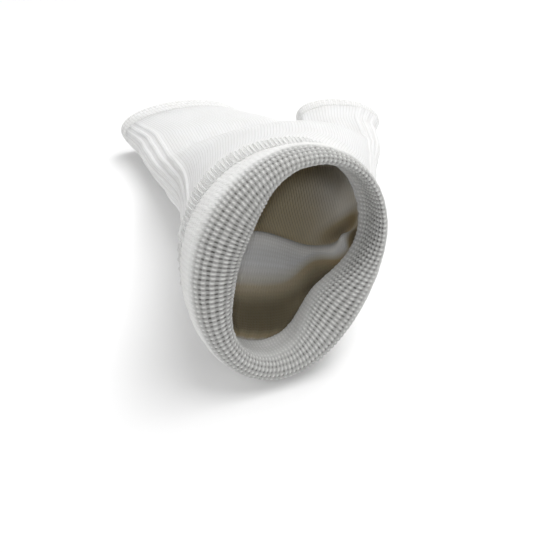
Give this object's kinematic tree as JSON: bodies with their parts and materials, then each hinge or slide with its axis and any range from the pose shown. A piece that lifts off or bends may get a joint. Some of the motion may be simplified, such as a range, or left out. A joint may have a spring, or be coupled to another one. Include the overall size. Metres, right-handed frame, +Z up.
{
  "type": "knitted wrist support sleeve",
  "caption": "Elastic knitted tube worn over hand and wrist as a compression support, with a thick ribbed roll round the forearm mouth, ribbed sides, and hemmed palm and thumb openings either side of a V.",
  "frame": {"origin": "Centre of the footprint on the surface the sleeve lies on.", "axes": "+Z up. +Y runs along the sleeve from the forearm mouth to the palm and thumb openings. -X is the little-finger side and +X the thumb side."},
  "size_m": [0.1002, 0.149, 0.0628],
  "materials": {
    "knit_body": "matt white elastic knit, ribbed along the sides",
    "rib_cuff": "matt white thick ribbed knit",
    "hem_knit": "matt white turned and stitched knit edge"
  },
  "bodies": {
    "root": {"sleeve_body": "knit_body", "forearm_cuff": "rib_cuff", "palm_hem": "hem_knit", "thumb_hem": "hem_knit"}
  },
  "joints": []
}
